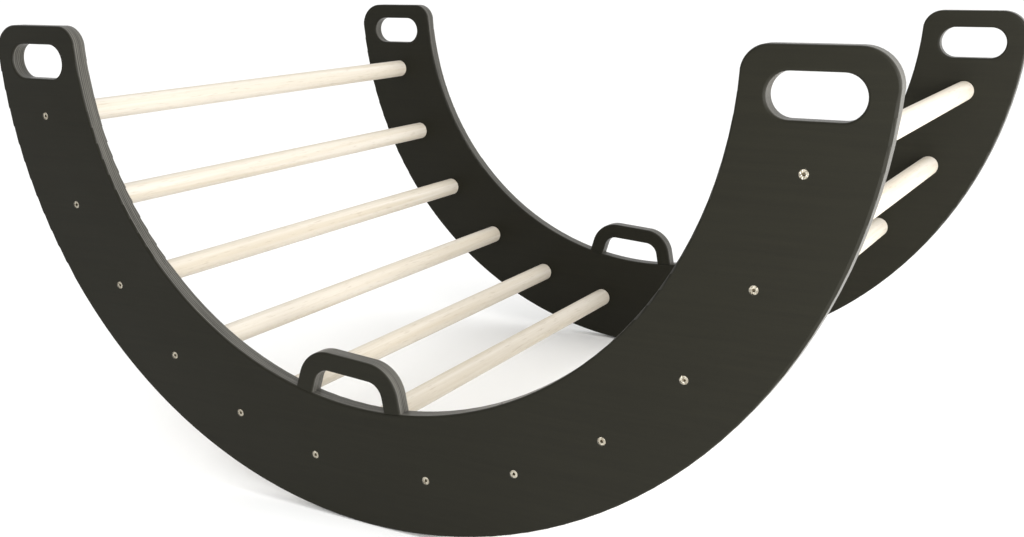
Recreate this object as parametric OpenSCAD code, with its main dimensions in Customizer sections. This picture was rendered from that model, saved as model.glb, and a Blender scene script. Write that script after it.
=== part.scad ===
// Climbing arch that also rocks: two half ring side panels, round rungs between them,
// a hand slot in each of the four tips and a loop handle on the middle of each panel.
// Millimetres. X runs along the arch, Y along the rungs, Z up.
// The origin is on the floor, under the middle of the arch.

/* [Arch] */
// Radius of the outer curve that rocks on the floor
outer_r = 600; // [500:5:700]
// Width of the half ring, from its inner to its outer edge
panel_w = 150; // [125:1:180]
// Distance of the flat tips below the middle of the curve
tip_drop = 5; // [0:1:60]
// Overall width across the outer faces of both panels
arch_w = 850; // [500:5:1000]
// Thickness of the plywood
panel_t = 21; // [15:1:24]
// Radius that rounds over the long edges of the plywood
edge_r = 3; // [1:0.5:6]
// Radius of a tip's rounded corner at the outer curve
tip_outer_r = 38; // [15:1:45]
// Radius of a tip's rounded corner at the inner curve
tip_inner_r = 28; // [15:1:45]

/* [Hand slots] */
// Length of a hand slot from end to end
slot_l = 95; // [80:1:110]
// Height of a hand slot
slot_h = 45; // [30:1:50]
// Distance from the top of a tip to the middle of its slot
slot_drop = 47; // [40:1:70]

/* [Rungs] */
// Diameter of a rung
rung_d = 30; // [22:0.5:38]
// Distance from the outer edge of a panel to the middle of each rung
rung_inset = 70; // [45:1:105]
// Distance from the middle of a slot down to the middle of the top rung
rung_drop = 72; // [60:1:110]
// Distance between the two middle rungs, centre to centre
middle_gap = 165; // [130:1:190]
// Chamfer round the sawn end of a rung
rung_chamfer = 1; // [0.2:0.1:2]

/* [Rung screws] */
// Diameter of a screw's shank
screw_d = 5; // [4:0.5:6]
// Length of a screw from the top of its head to its point
screw_l = 70; // [50:1:90]
// Diameter of a screw's flat head
screw_head_d = 9.5; // [8:0.5:12]
// Depth of the head below the face of the panel
screw_sink = 0.8; // [0.3:0.1:2]
// Width across the corners of the six sided drive recess
drive_d = 4.2; // [3:0.1:5]
// Depth of the drive recess
drive_depth = 2.4; // [1:0.1:3]

/* [Loop handles] */
// Height of a handle above the lowest point of the inner edge
handle_h = 61; // [50:1:80]
// Width of a handle across its feet
handle_w = 156; // [135:1:180]
// Width of the bar that forms the loop, seen from the side
handle_bar = 24; // [16:0.5:26]
// Outer radius of the loop's two upper corners
handle_corner_r = 45; // [32:1:48]
// Lean of the handle's legs from upright
handle_lean = 14; // [5:1:20]
// Distance of both handles from the middle of the arch, towards its left tips
handle_shift = 30; // [-40:1:40]
// Diameter of the dowels in the handle's feet
dowel_d = 8; // [6:1:10]
// Length of the dowels
dowel_l = 40; // [30:1:44]

/* [Fits] */
// Radial clearance of a screw in the bore of the panel
screw_gap = 0.3; // [0.1:0.1:0.6]
// Radial clearance of a glued dowel and of a screw's core in the wood
glue_gap = 0.05; // [0.02:0.01:0.1]

/* [Hidden] */
rung_count = 12;
paint_color = [0.17, 0.17, 0.15];
birch_color = [0.93, 0.87, 0.76];
brass_color = [0.72, 0.58, 0.33];
dowel_color = [0.82, 0.68, 0.48];

inner_r = outer_r - panel_w;
arch_h = outer_r - tip_drop;
rung_l = arch_w - 2 * panel_t;
rung_circle_r = outer_r - rung_inset;
// the top rungs hang below the slots, and in each half of the arch the others share the arc
// from there down to the middle rung evenly
top_rung_angle = acos((tip_drop + slot_drop + rung_drop) / rung_circle_r);
middle_rung_angle = asin(middle_gap / 2 / rung_circle_r);
rung_pitch = (top_rung_angle - middle_rung_angle) / (rung_count / 2 - 1);
// how far a cutting shape reaches past the wood that it cuts
over = 1;
// a tip's corner arcs stand this far outside the ring's edges, so that they cross them cleanly
tip_blend = 0.2;
// the tips are rounded over by this much more, so that no two roundings end on one line
tip_edge_r = edge_r + 0.1;
// a handle's leg starts this far inside the bend and is this much slimmer on each side, so that
// the two join cleanly at any lean
leg_overlap = 0.2;
leg_inset = 0.02;
// the ring is swept this many degrees past the half circle, and the tips are cut from it
sweep_over = 1;
// the depth of the screw's pilot bore goes this far past the point
pilot_extra = 4;
// the countersunk head has a cone of 90 degrees
head_cone_h = (screw_head_d - screw_d) / 2;
screw_tip_h = screw_d * 0.9;
dowel_chamfer = dowel_d / 8;
// room beyond each end of a dowel in its bore
dowel_end_gap = 1;

// height of the upper line of the handle above the floor
handle_top = panel_w + handle_h;
// the middle of the outer corner arc of the handle, found from the width across the feet
corner_z = handle_top - handle_corner_r;
foot_z = outer_r - sqrt(pow(inner_r, 2) - pow(handle_w / 2, 2));
leg_start_z = corner_z + handle_corner_r * sin(handle_lean);
corner_x = handle_w / 2 - (leg_start_z - foot_z) * tan(handle_lean)
    - handle_corner_r * cos(handle_lean);
bar_inner_r = handle_corner_r - handle_bar;
// a leg is swept far enough to pass through the inner edge before it is trimmed there
leg_l = handle_h;
// place of a dowel: where the middle line of the leg meets the inner edge
dowel_x = handle_w / 2 - handle_bar / 2 / cos(handle_lean);
dowel_angle = asin(dowel_x / inner_r);
// the near handle is turned about the ring's centre by this angle, and the far one by its opposite
handle_turn = -asin(handle_shift / inner_r);

$fn = 96;

// angle of rung i from the upright: the left half counts down from its top rung, the right half up
function rung_angle(i) = i <= rung_count / 2
    ? (i - 1) * rung_pitch - top_rung_angle
    : top_rung_angle - (rung_count - i) * rung_pitch;

// stands a shape drawn flat on its edge: what was its lower face is the panel's inner face
module stand_near_side() {
    translate([0, panel_t - arch_w / 2, 0]) rotate([90, 0, 0]) children();
}

// turns a near side shape round to the far side
module far_side() {
    rotate([0, 0, 180]) children();
}

// moves a shape drawn at the middle of the inner edge along that edge
module along_inner_edge(turn) {
    translate([0, outer_r, 0]) rotate([0, 0, turn]) translate([0, -outer_r, 0]) children();
}

// cross section of a board with rounded edges, from u0 to u1, standing panel_t high
module board_section(u0, u1) {
    translate([u0 + edge_r, 0]) square([u1 - u0 - 2 * edge_r, panel_t]);
    translate([u0, edge_r]) square([u1 - u0, panel_t - 2 * edge_r]);
    for (u = [u0 + edge_r, u1 - edge_r]) {
        for (v = [edge_r, panel_t - edge_r]) {
            translate([u, v]) circle(edge_r);
        }
    }
}

// what lies outside a tip's rounded edge at u = r, to trim the board with
module beyond_edge(r, reach) {
    difference() {
        translate([r - tip_edge_r, -over]) square([tip_edge_r + reach, panel_t + 2 * over]);
        translate([r - tip_edge_r - over, tip_edge_r]) square([tip_edge_r + over, panel_t - 2 * tip_edge_r]);
        for (v = [tip_edge_r, panel_t - tip_edge_r]) {
            translate([r - tip_edge_r, v]) circle(tip_edge_r);
        }
    }
}

// half width of a hole with rounded edges: wider at both faces
module hole_section(half_w) {
    difference() {
        translate([0, -over]) square([half_w + edge_r, panel_t + 2 * over]);
        translate([half_w, edge_r]) square([edge_r + over, panel_t - 2 * edge_r]);
        for (v = [edge_r, panel_t - edge_r]) {
            translate([half_w + edge_r, v]) circle(edge_r);
        }
    }
}

// cuts one corner of radius r, swept outwards from the top, and the flat top beside it
module tip_corner(r, sweep, straight, reach) {
    mirror([1, -1, 0]) rotate_extrude(angle = sweep) beyond_edge(r, reach);
    rotate([90, 0, 90]) mirror([0, 0, 1]) linear_extrude(straight) beyond_edge(r, reach);
}

// cuts the flat top and both rounded corners of the right hand tip
module tip_trim() {
    outer_rise = tip_drop + tip_outer_r;
    inner_rise = tip_drop + tip_inner_r;
    reach = max(outer_rise, inner_rise) + outer_r * sin(sweep_over);
    outer_x = sqrt(pow(outer_r - tip_outer_r + tip_blend, 2) - pow(outer_rise, 2));
    inner_x = sqrt(pow(inner_r + tip_inner_r - tip_blend, 2) - pow(inner_rise, 2));
    straight = (outer_x - inner_x) / 2 + over;
    translate([outer_x, outer_r - outer_rise, 0])
        tip_corner(tip_outer_r, 90 + atan2(outer_rise, outer_x), straight, reach);
    translate([inner_x, outer_r - inner_rise, 0]) mirror([1, 0, 0])
        tip_corner(tip_inner_r, 90 - atan2(inner_rise, inner_x), straight, reach);
}

// hand slot with rounded ends and rounded edges, centred on the origin
module slot_cut() {
    end_r = slot_h / 2;
    straight = slot_l - slot_h;
    for (side = [-1, 1]) {
        translate([side * straight / 2, 0, 0]) rotate([0, 0, -90 * side])
            rotate_extrude(angle = 180) hole_section(end_r);
    }
    translate([-straight / 2, 0, 0]) rotate([90, 0, 90]) linear_extrude(straight)
        union() {
            hole_section(end_r);
            mirror([1, 0]) hole_section(end_r);
        }
}

// countersunk bore for a rung screw, its head side at the outer face
module screw_bore() {
    bore_r = screw_d / 2 + screw_gap;
    head_r = screw_head_d / 2 + screw_gap;
    head_z = panel_t - screw_sink;
    translate([0, 0, -over]) cylinder(r = bore_r, h = panel_t + 2 * over);
    translate([0, 0, head_z - head_cone_h]) cylinder(r1 = bore_r, r2 = head_r, h = head_cone_h);
    translate([0, 0, head_z]) cylinder(r = head_r, h = screw_sink + over);
}

// blind hole for a handle's dowel, drilled square to the inner edge
module dowel_bore() {
    reach = dowel_l / 2 + dowel_end_gap;
    for (side = [-1, 1]) {
        translate([0, outer_r, panel_t / 2]) rotate([0, 0, side * dowel_angle])
            translate([0, -inner_r - reach, 0]) rotate([-90, 0, 0])
                cylinder(r = dowel_d / 2 + glue_gap, h = 2 * reach);
    }
}

// a side panel lying flat, its inner face down, drilled for a handle that is turned by turn
module panel_flat(turn) {
    slot_y = arch_h - slot_drop;
    slot_rise = outer_r - slot_y;
    // the slot sits midway between the inner and outer edge at its own height
    slot_x = (sqrt(pow(outer_r, 2) - pow(slot_rise, 2))
        + sqrt(pow(inner_r, 2) - pow(slot_rise, 2))) / 2;
    difference() {
        translate([0, outer_r, 0]) rotate([0, 0, 180 - sweep_over])
            rotate_extrude(angle = 180 + 2 * sweep_over) board_section(inner_r, outer_r);
        for (side = [0, 1]) {
            mirror([side, 0, 0]) {
                tip_trim();
                translate([slot_x, slot_y, 0]) slot_cut();
            }
        }
        for (i = [1 : rung_count]) {
            translate([0, outer_r, 0]) rotate([0, 0, rung_angle(i)])
                translate([0, -rung_circle_r, 0]) screw_bore();
        }
        along_inner_edge(turn) dowel_bore();
    }
}

// one bend of a handle about the origin and the leg below it, as long as leg_l
module handle_bend() {
    difference() {
        rotate_extrude() board_section(bar_inner_r, handle_corner_r);
        translate([-2 * handle_corner_r, -2 * handle_corner_r, -over])
            cube([2 * handle_corner_r, 4 * handle_corner_r, panel_t + 2 * over]);
        rotate([0, 0, handle_lean]) translate([-2 * handle_corner_r, -2 * handle_corner_r, -over])
            cube([4 * handle_corner_r, 2 * handle_corner_r, panel_t + 2 * over]);
    }
    rotate([0, 0, handle_lean]) translate([0, leg_overlap, 0]) rotate([90, 0, 0])
        linear_extrude(leg_l)
            board_section(bar_inner_r + leg_inset, handle_corner_r - leg_inset);
}

// a loop handle lying flat, its feet trimmed to the panel's inner edge
module handle_flat() {
    difference() {
        intersection() {
            union() {
                for (side = [0, 1]) {
                    mirror([side, 0, 0]) translate([corner_x, corner_z, 0]) {
                        handle_bend();
                        rotate([90, 0, 90]) mirror([0, 0, 1])
                            linear_extrude(corner_x + over)
                                board_section(bar_inner_r, handle_corner_r);
                    }
                }
            }
            translate([0, outer_r, -over]) cylinder(r = inner_r, h = panel_t + 2 * over);
        }
        dowel_bore();
    }
}

module side_panel(turn) {
    color(paint_color) stand_near_side() panel_flat(turn);
}

module handle(turn) {
    color(paint_color) stand_near_side() along_inner_edge(turn) handle_flat();
}

module handle_dowels(turn) {
    color(dowel_color) stand_near_side() along_inner_edge(turn)
        for (side = [-1, 1]) {
            translate([0, outer_r, panel_t / 2]) rotate([0, 0, side * dowel_angle])
                translate([0, -inner_r, 0]) rotate([-90, 0, 0]) dowel();
        }
}

// dowel with chamfered ends, centred on the origin
module dowel() {
    r = dowel_d / 2;
    c = dowel_chamfer;
    half = dowel_l / 2;
    rotate_extrude() polygon([[0, -half], [r - c, -half], [r, c - half], [r, half - c],
        [r - c, half], [0, half]]);
}

// a rung along Y, with a pilot bore for a screw in each end
module rung(i) {
    pilot_l = screw_l + screw_sink - panel_t + pilot_extra;
    r = rung_d / 2;
    c = rung_chamfer;
    half = rung_l / 2;
    color(birch_color)
        translate([rung_circle_r * sin(rung_angle(i)), 0,
            outer_r - rung_circle_r * cos(rung_angle(i))])
            rotate([90, 0, 0])
                difference() {
                    rotate_extrude() polygon([[0, -half], [r - c, -half], [r, c - half],
                        [r, half - c], [r - c, half], [0, half]]);
                    for (side = [0, 1]) {
                        mirror([0, 0, side]) translate([0, 0, half - pilot_l])
                            cylinder(r = screw_d / 2 + glue_gap, h = pilot_l + over);
                    }
                }
}

// countersunk screw with a six sided recess: head up, its top face at the origin
module screw() {
    head_r = screw_head_d / 2;
    r = screw_d / 2;
    shank_end = screw_tip_h - screw_l;
    difference() {
        rotate_extrude() polygon([[0, 0], [head_r, 0], [r, -head_cone_h], [r, shank_end],
            [0, -screw_l]]);
        translate([0, 0, -drive_depth]) cylinder(d = drive_d, h = drive_depth + over, $fn = 6);
    }
}

module rung_screws() {
    color(brass_color) stand_near_side()
        for (i = [1 : rung_count]) {
            translate([0, outer_r, 0]) rotate([0, 0, rung_angle(i)])
                translate([0, -rung_circle_r, panel_t - screw_sink]) screw();
        }
}

side_panel(handle_turn);  // near_side_panel
far_side() side_panel(-handle_turn);  // far_side_panel
rung(1);  // rung_01
rung(2);  // rung_02
rung(3);  // rung_03
rung(4);  // rung_04
rung(5);  // rung_05
rung(6);  // rung_06
rung(7);  // rung_07
rung(8);  // rung_08
rung(9);  // rung_09
rung(10);  // rung_10
rung(11);  // rung_11
rung(12);  // rung_12
handle(handle_turn);  // near_handle
far_side() handle(-handle_turn);  // far_handle
handle_dowels(handle_turn);  // near_handle_dowels
far_side() handle_dowels(-handle_turn);  // far_handle_dowels
rung_screws();  // near_rung_screws
far_side() rung_screws();  // far_rung_screws
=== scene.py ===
import math

import bpy
from mathutils import Matrix, Vector


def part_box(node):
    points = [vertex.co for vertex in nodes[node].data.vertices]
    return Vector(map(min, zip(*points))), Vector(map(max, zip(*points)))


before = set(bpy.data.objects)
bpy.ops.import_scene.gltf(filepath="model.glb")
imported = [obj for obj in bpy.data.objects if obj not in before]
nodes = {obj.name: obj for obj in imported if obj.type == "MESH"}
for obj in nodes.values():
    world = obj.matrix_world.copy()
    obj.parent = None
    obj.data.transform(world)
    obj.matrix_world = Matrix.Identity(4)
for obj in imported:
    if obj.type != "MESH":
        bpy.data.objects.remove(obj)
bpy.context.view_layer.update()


# sRGB hex, as a colour picker shows it, to the linear values that the shaders work with
def linearFromHex(hexText):
    channels = [int(hexText[i:i + 2], 16) / 255 for i in (1, 3, 5)]
    return [c / 12.92 if c <= 0.04045 else ((c + 0.055) / 1.055) ** 2.4 for c in channels] + [1.0]


# adds one node: settings are its options and socket values, links are its inputs
def addNode(tree, kind, settings=None, links=None):
    node = tree.nodes.new("ShaderNode" + kind)
    for name, value in (settings or {}).items():
        if isinstance(name, int) or name in node.inputs:
            node.inputs[name].default_value = value
        else:
            setattr(node, name, value)
    for name, source in (links or {}).items():
        tree.links.new(source, node.inputs[name])
    return node


# an empty material with its node tree, ready for the nodes
def newMaterial(name):
    material = bpy.data.materials.new(name)
    material.use_nodes = True
    tree = material.node_tree
    tree.nodes.clear()
    return material, tree


def dress(node, material):
    mesh = nodes[node].data
    mesh.materials.clear()
    mesh.materials.append(material)


# Side panels and loop handles: birch plywood under black paint
paint = {
    "face": "#171610",  # warm near black on the sanded face veneer
    "faceGrain": "#1f1e16",  # the veneer's late wood drinks less paint
    "edge": "#282724",  # sanded edge, where the paint is thinner, lighter still as a painted sheen
    "edgePly": "#66645e",  # a ply whose fibres run along the edge
    "rounding": (0.05, 0.75),  # how much of the normal points sideways, from edge to face
    "grainLength": 0.120,  # metres along the board
    "grainWidth": 0.004,
    "ply": 0.0028,  # one pair of plies, each 1.4 mm
    "plyShare": 0.2,  # how much the plies show on an edge beside their fibres
    "fibre": 0.0007,  # the fibres that show in a ply on the edge
    "fibreLength": 0.1,
    "edgeContrast": (0.34, 0.62),  # the part of the noise that goes from edge to edgePly
    "stipple": 0.0022,  # the roller's orange peel, drawn twice its 1 mm so that it shows
    "patches": 6,  # broad soft patches to the metre, where hands have polished the film
    "polished": -0.05,  # what the patches take from the roughness, or add to it
    "dulled": 0.06,
    "faceRoughness": 0.52,
    "edgeRoughness": 0.3,
    "shine": 0.12,
    # strength, and depth in metres
    "grainBump": (0.35, 0.0002),
    "peelBump": (0.3, 0.00025),
    "plyBump": (0.5, 0.0003),
}


# Birch plywood, sanded, rolled with two coats of water based black: a satin film that shows a
# fine orange peel and, faintly, the long grain of the veneer. The rounded edges are sanded more
# between the coats, so they shine more and show the plies' fibres as fine lines; their greyer
# colour is partly thinner paint and partly a painted sheen of the light that glances off them.
def paintedPlywood():
    material, tree = newMaterial("Satin black painted birch plywood")
    place = addNode(tree, "TexCoord")
    axes = addNode(tree, "SeparateXYZ", links={0: place.outputs["Normal"]})
    across = addNode(tree, "Math", {"operation": "ABSOLUTE"}, {0: axes.outputs["Y"]})
    # 1 on the flat faces, falling to 0 on the flat of the edge
    onFace = addNode(tree, "MapRange", {"interpolation_type": "SMOOTHSTEP",
                                        "From Min": paint["rounding"][0],
                                        "From Max": paint["rounding"][1]},
                     {"Value": across.outputs[0]})
    grainPlace = addNode(tree, "Mapping", {"Scale": (1 / paint["grainLength"], 1,
                                                     1 / paint["grainWidth"])},
                         {"Vector": place.outputs["Object"]})
    grain = addNode(tree, "TexNoise", {"Scale": 1, "Detail": 6, "Roughness": 0.6,
                                       "Distortion": 0.4}, {"Vector": grainPlace.outputs[0]})
    # the wave texture's bands are pi / 10 wide at scale 1
    ply = addNode(tree, "TexWave", {"bands_direction": "Y", "Scale": math.pi / 10 / paint["ply"],
                                    "Distortion": 0.6, "Detail": 2, "Detail Scale": 0.05},
                  {"Vector": place.outputs["Object"]})
    fibrePlace = addNode(tree, "Mapping", {"Scale": (1 / paint["fibreLength"], 1 / paint["fibre"],
                                                     1 / paint["fibreLength"])},
                         {"Vector": place.outputs["Object"]})
    fibre = addNode(tree, "TexNoise", {"Scale": 1, "Detail": 3, "Roughness": 0.6},
                    {"Vector": fibrePlace.outputs[0]})
    peel = addNode(tree, "TexNoise", {"Scale": 1 / paint["stipple"], "Detail": 2,
                                      "Roughness": 0.5}, {"Vector": place.outputs["Object"]})
    patches = addNode(tree, "TexNoise", {"Scale": paint["patches"], "Detail": 3,
                                         "Roughness": 0.55},
                      {"Vector": place.outputs["Object"]})

    # mostly fibres, with the plies faint between them
    edgeMix = addNode(tree, "MixRGB", {"Fac": paint["plyShare"]},
                      {"Color1": fibre.outputs["Fac"], "Color2": ply.outputs["Fac"]})
    edgeLight = addNode(tree, "MapRange", {"From Min": paint["edgeContrast"][0],
                                           "From Max": paint["edgeContrast"][1]},
                        {"Value": edgeMix.outputs[0]})
    faceColor = addNode(tree, "MixRGB", {"Color1": linearFromHex(paint["face"]),
                                         "Color2": linearFromHex(paint["faceGrain"])},
                        {"Fac": grain.outputs["Fac"]})
    # edge colours lighter than the face: partly thinner paint and ply fibres, partly painted sheen
    edgeColor = addNode(tree, "MixRGB", {"Color1": linearFromHex(paint["edge"]),
                                         "Color2": linearFromHex(paint["edgePly"])},
                        {"Fac": edgeLight.outputs[0]})
    color = addNode(tree, "MixRGB", links={"Fac": onFace.outputs[0], "Color1": edgeColor.outputs[0],
                                           "Color2": faceColor.outputs[0]})

    film = addNode(tree, "MapRange", {"To Min": paint["edgeRoughness"],
                                      "To Max": paint["faceRoughness"]},
                   {"Value": onFace.outputs[0]})
    # a noise texture's values lie mostly between 0.3 and 0.7
    worn = addNode(tree, "MapRange", {"From Min": 0.3, "From Max": 0.7,
                                      "To Min": paint["polished"], "To Max": paint["dulled"]},
                   {"Value": patches.outputs["Fac"]})
    roughness = addNode(tree, "Math", {"operation": "ADD"}, {0: film.outputs[0],
                                                             1: worn.outputs[0]})

    grainBump = addNode(tree, "Bump", {"Strength": paint["grainBump"][0],
                                       "Distance": paint["grainBump"][1]},
                        {"Height": grain.outputs["Fac"]})
    peelBump = addNode(tree, "Bump", {"Strength": paint["peelBump"][0],
                                      "Distance": paint["peelBump"][1]},
                       {"Height": peel.outputs["Fac"], "Normal": grainBump.outputs[0]})
    # the plies stand out on the edges only
    offFace = addNode(tree, "Math", {"operation": "SUBTRACT", 0: 1}, {1: onFace.outputs[0]})
    plyHeight = addNode(tree, "Math", {"operation": "MULTIPLY"},
                        {0: offFace.outputs[0], 1: edgeMix.outputs[0]})
    plyBump = addNode(tree, "Bump", {"Strength": paint["plyBump"][0],
                                     "Distance": paint["plyBump"][1]},
                      {"Height": plyHeight.outputs[0], "Normal": peelBump.outputs[0]})
    shader = addNode(tree, "BsdfPrincipled", {"IOR": 1.5, "Specular IOR Level": paint["shine"]},
                     {"Base Color": color.outputs[0], "Roughness": roughness.outputs[0],
                      "Normal": plyBump.outputs[0]})
    addNode(tree, "OutputMaterial", links={"Surface": shader.outputs[0]})
    return material


# Rungs and dowels: turned hardwood rods. What the two woods have in common stands in turning.
turning = {
    "bandRange": (0.35, 0.68),  # where the growth bands begin and end in their noise
    "poreRange": (0.6, 0.75),
    "poreStrength": 0.5,
    "silkier": -0.08,  # what the bands take from the roughness, or add to it
    "duller": 0.1,
    "shine": 0.35,
    "poreBump": (0.3, 0.0002),  # strength, and depth in metres
}
birch = {
    "name": "Oiled birch rod",
    "pale": "#d6cfc3",  # sapwood between the growth rings
    "warm": "#c9bfad",  # late growth
    "fleck": "#a79884",  # short dark pores
    "ring": 0.005,  # metres from one growth line to the next, across the rod
    "fibreLength": 0.30,
    "fleckWidth": 0.001,  # drawn wider than the real 0.3 mm so that they show
    "fleckLength": 0.016,
    "roughness": 0.52,
}
beech = {
    "name": "Plain beech dowel",
    "pale": "#d8b98f",
    "warm": "#c49f70",
    "fleck": "#8f6b45",
    "ring": 0.003,
    "fibreLength": 0.10,
    "fleckWidth": 0.0006,
    "fleckLength": 0.004,
    "roughness": 0.6,
}


# Hardwood turned to a rod and sanded, the rungs with a clear matt oil on them: long soft bands
# of warmer wood run along the rod with short fine pores, and the sheen is low and silky.
def turnedWood(wood):
    material, tree = newMaterial(wood["name"])
    place = addNode(tree, "TexCoord")
    ringPlace = addNode(tree, "Mapping", {"Scale": (1 / wood["ring"], 1 / wood["fibreLength"],
                                                    1 / wood["ring"])},
                        {"Vector": place.outputs["Object"]})
    ring = addNode(tree, "TexNoise", {"Scale": 0.5, "Detail": 5, "Roughness": 0.6,
                                      "Distortion": 0.8}, {"Vector": ringPlace.outputs[0]})
    fleckPlace = addNode(tree, "Mapping", {"Scale": (1 / wood["fleckWidth"],
                                                     1 / wood["fleckLength"],
                                                     1 / wood["fleckWidth"])},
                         {"Vector": place.outputs["Object"]})
    fleck = addNode(tree, "TexNoise", {"Scale": 0.6, "Detail": 2, "Roughness": 0.5},
                    {"Vector": fleckPlace.outputs[0]})
    band = addNode(tree, "MapRange", {"From Min": turning["bandRange"][0],
                                      "From Max": turning["bandRange"][1]},
                   {"Value": ring.outputs["Fac"]})
    bandColor = addNode(tree, "MixRGB", {"Color1": linearFromHex(wood["pale"]),
                                         "Color2": linearFromHex(wood["warm"])},
                        {"Fac": band.outputs[0]})
    pore = addNode(tree, "MapRange", {"From Min": turning["poreRange"][0],
                                      "From Max": turning["poreRange"][1],
                                      "To Max": turning["poreStrength"]},
                   {"Value": fleck.outputs["Fac"]})
    color = addNode(tree, "MixRGB", {"Color2": linearFromHex(wood["fleck"])},
                    {"Fac": pore.outputs[0], "Color1": bandColor.outputs[0]})
    sheen = addNode(tree, "MapRange", {"To Min": wood["roughness"] + turning["silkier"],
                                       "To Max": wood["roughness"] + turning["duller"]},
                    {"Value": ring.outputs["Fac"]})
    poreBump = addNode(tree, "Bump", {"Strength": turning["poreBump"][0],
                                      "Distance": turning["poreBump"][1]},
                       {"Height": fleck.outputs["Fac"]})
    shader = addNode(tree, "BsdfPrincipled", {"IOR": 1.5, "Specular IOR Level": turning["shine"]},
                     {"Base Color": color.outputs[0], "Roughness": sheen.outputs[0],
                      "Normal": poreBump.outputs[0]})
    addNode(tree, "OutputMaterial", links={"Surface": shader.outputs[0]})
    return material


# Rung screws
screw = {
    "zinc": "#c3bcac",  # pale straw, as thin yellow passivation looks
    "tarnish": "#857c6b",
    "paintedDriveShade": "#7b7364",  # painted shade down in the drive
    "paintedShadeDepth": 0.0025,  # metres below the head's rim where the painted shade is darkest
    "patch": 0.003,
    "tarnishRange": (0.4, 0.7),  # where a patch begins and is fully dull in its noise
    "dent": 0.0018,  # the driver's marks, drawn twice their size so that they glint
    "dentBump": (0.9, 0.0012),  # strength, and depth in metres
    "roughness": 0.26,
    "polished": -0.06,  # what the patches take from the roughness, or add to it
    "dulled": 0.15,
}


# Wood screws of zinc plated steel, passivated yellow: a pale golden skin with a few duller
# patches, glinting where the driver has marked the head, with painted shade down in the six sided
# drive.
def passivatedSteel(headFace):
    material, tree = newMaterial("Yellow passivated screw steel")
    place = addNode(tree, "TexCoord")
    dull = addNode(tree, "TexNoise", {"Scale": 1 / screw["patch"], "Detail": 3},
                   {"Vector": place.outputs["Object"]})
    patch = addNode(tree, "MapRange", {"From Min": screw["tarnishRange"][0],
                                       "From Max": screw["tarnishRange"][1]},
                    {"Value": dull.outputs["Fac"]})
    zinc = addNode(tree, "MixRGB", {"Color1": linearFromHex(screw["zinc"]),
                                    "Color2": linearFromHex(screw["tarnish"])},
                   {"Fac": patch.outputs[0]})
    # painted shade: the colour darkens to the shade colour with depth below the head's rim
    axes = addNode(tree, "SeparateXYZ", links={0: place.outputs["Object"]})
    side = addNode(tree, "Math", {"operation": "ABSOLUTE"}, {0: axes.outputs["Y"]})
    depth = addNode(tree, "MapRange", {"From Min": headFace - screw["paintedShadeDepth"],
                                       "From Max": headFace}, {"Value": side.outputs[0]})
    color = addNode(tree, "MixRGB", {"Color1": linearFromHex(screw["paintedDriveShade"])},
                    {"Fac": depth.outputs[0], "Color2": zinc.outputs[0]})
    roughness = addNode(tree, "MapRange", {"To Min": screw["roughness"] + screw["polished"],
                                           "To Max": screw["roughness"] + screw["dulled"]},
                        {"Value": dull.outputs["Fac"]})
    dents = addNode(tree, "TexNoise", {"Scale": 1 / screw["dent"], "Detail": 1},
                    {"Vector": place.outputs["Object"]})
    dentBump = addNode(tree, "Bump", {"Strength": screw["dentBump"][0],
                                      "Distance": screw["dentBump"][1]},
                       {"Height": dents.outputs["Fac"]})
    shader = addNode(tree, "BsdfPrincipled", {"Metallic": 1},
                     {"Base Color": color.outputs[0], "Roughness": roughness.outputs[0],
                      "Normal": dentBump.outputs[0]})
    addNode(tree, "OutputMaterial", links={"Surface": shader.outputs[0]})
    return material


paintedMaterial = paintedPlywood()
birchMaterial = turnedWood(birch)
beechMaterial = turnedWood(beech)
screwMaterial = passivatedSteel(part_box("far_rung_screws")[1][1])
for name in nodes:
    if name.startswith("rung_"):
        dress(name, birchMaterial)
    elif name.endswith("_dowels"):
        dress(name, beechMaterial)
    elif name.endswith("_screws"):
        dress(name, screwMaterial)
    else:
        dress(name, paintedMaterial)
print("materials: painted plywood, birch, beech, screws")


# Studio: a pale floor that runs into a white sweep, a white ceiling, windows on the right and a
# dim room all round
studio = {
    "floorColor": "#fbfbfa",
    "floorRoughness": 0.9,
    "floorShine": 0.2,
    "floorSize": 60,
    "sweepLight": 1.0,
    "ceilingLight": 1.3,
    "roomLight": 0.5,
    "windowLight": 0.95,
    "windowSide": (0.86, -0.5, 0.1),
    "windowStart": -0.3,  # the windows' light begins this far round the other side
    # how high above the floor, as the sine of the angle, each light ends and the next begins
    "sweepHeights": (0.1, 0.3),
    "ceilingHeights": (0.2, 0.8),
    # name, place, aimed at, size, watts
    "lights": [
        ("Window softbox", (1.5, -1.6, 0.6), (0.4, 0.0, 0.4), 0.7, 32),
        ("Side softbox", (1.6, -0.5, 0.7), (0.4, 0.4, 0.4), 0.6, 17),
    ],
}


def makeFloor():
    size = studio["floorSize"] / 2
    mesh = bpy.data.meshes.new("studioFloor")
    mesh.from_pydata([(-size, -size, 0), (size, -size, 0), (size, size, 0), (-size, size, 0)], [],
                     [(0, 1, 2, 3)])
    floor = bpy.data.objects.new("studioFloor", mesh)
    bpy.context.scene.collection.objects.link(floor)
    material, tree = newMaterial("Matt white studio floor")
    shader = addNode(tree, "BsdfPrincipled", {"Base Color": linearFromHex(studio["floorColor"]),
                                              "Roughness": studio["floorRoughness"],
                                              "Specular IOR Level": studio["floorShine"]})
    addNode(tree, "OutputMaterial", links={"Surface": shader.outputs[0]})
    mesh.materials.append(material)


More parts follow.
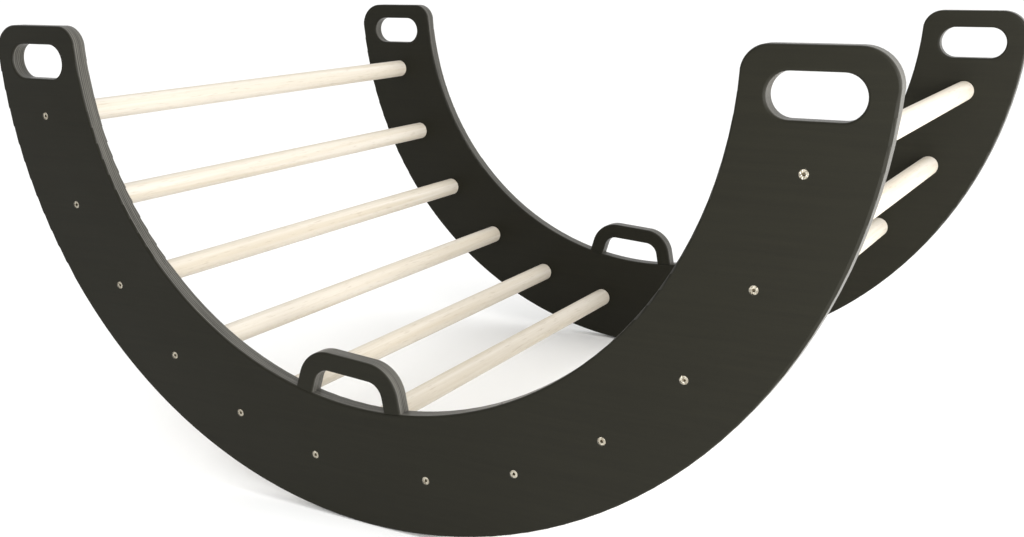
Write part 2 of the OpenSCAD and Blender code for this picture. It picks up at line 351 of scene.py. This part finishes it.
def makeSurround():
    world = bpy.data.worlds.new("White surround")
    world.use_nodes = True
    tree = world.node_tree
    tree.nodes.clear()
    direction = addNode(tree, "TexCoord")
    axes = addNode(tree, "SeparateXYZ", links={0: direction.outputs["Generated"]})
    facing = addNode(tree, "VectorMath", {"operation": "DOT_PRODUCT", 1: studio["windowSide"]},
                     {0: direction.outputs["Generated"]})
    around = addNode(tree, "MapRange", {"interpolation_type": "SMOOTHSTEP",
                                        "From Min": studio["windowStart"],
                                        "To Min": studio["roomLight"],
                                        "To Max": studio["windowLight"]},
                     {"Value": facing.outputs["Value"]})
    # white just above the floor, so that low views show no horizon
    sweep = addNode(tree, "MapRange", {"interpolation_type": "SMOOTHSTEP",
                                       "From Min": studio["sweepHeights"][0],
                                       "From Max": studio["sweepHeights"][1],
                                       "To Min": studio["sweepLight"]},
                    {"Value": axes.outputs["Z"], "To Max": around.outputs[0]})
    upwards = addNode(tree, "MapRange", {"From Min": studio["ceilingHeights"][0],
                                         "From Max": studio["ceilingHeights"][1],
                                         "To Max": studio["ceilingLight"]},
                      {"Value": axes.outputs["Z"], "To Min": sweep.outputs[0]})
    background = addNode(tree, "Background", {"Color": (1, 1, 1, 1)},
                         {"Strength": upwards.outputs[0]})
    addNode(tree, "OutputWorld", links={"Surface": background.outputs[0]})
    bpy.context.scene.world = world


def makeLights():
    for name, place, target, width, watts in studio["lights"]:
        light = bpy.data.lights.new(name, "AREA")
        light.size = width
        light.energy = watts
        lamp = bpy.data.objects.new(name, light)
        lamp.location = place
        lamp.rotation_mode = "QUATERNION"
        lamp.rotation_quaternion = (Vector(target) - Vector(place)).to_track_quat("-Z", "Y")
        lamp.visible_camera = False
        bpy.context.scene.collection.objects.link(lamp)


makeFloor()
makeSurround()
makeLights()
print("studio: floor, surround and", len(studio["lights"]), "lights")


# Camera where the photographer stood, found from the two half rings and the rungs
photo = {
    "place": (0.8273, -1.5155, 0.6672),
    "turn": 0.52,  # radians from +Y towards -X
    "pitch": -0.2476,
    "roll": -0.0095,
    "focalPixels": 1202.6,
    "width": 1024,
    "sensorWidth": 36,  # millimetres
    "clipEnd": 100,
}


def makeCamera():
    turn, pitch, roll = photo["turn"], photo["pitch"], photo["roll"]
    forward = Vector((-math.sin(turn) * math.cos(pitch), math.cos(turn) * math.cos(pitch),
                      math.sin(pitch)))
    level = Vector((math.cos(turn), math.sin(turn), 0))
    upright = level.cross(forward)
    right = level * math.cos(roll) + upright * math.sin(roll)
    up = upright * math.cos(roll) - level * math.sin(roll)
    data = bpy.data.cameras.new("photoCamera")
    data.sensor_width = photo["sensorWidth"]
    data.lens = photo["focalPixels"] / photo["width"] * photo["sensorWidth"]
    data.clip_end = photo["clipEnd"]
    camera = bpy.data.objects.new("photoCamera", data)
    pose = Matrix((right, up, -forward)).transposed().to_4x4()
    pose.translation = Vector(photo["place"])
    camera.matrix_world = pose
    bpy.context.scene.collection.objects.link(camera)
    bpy.context.scene.camera = camera


makeCamera()
bpy.context.scene.view_settings.view_transform = "Standard"
print("camera set")
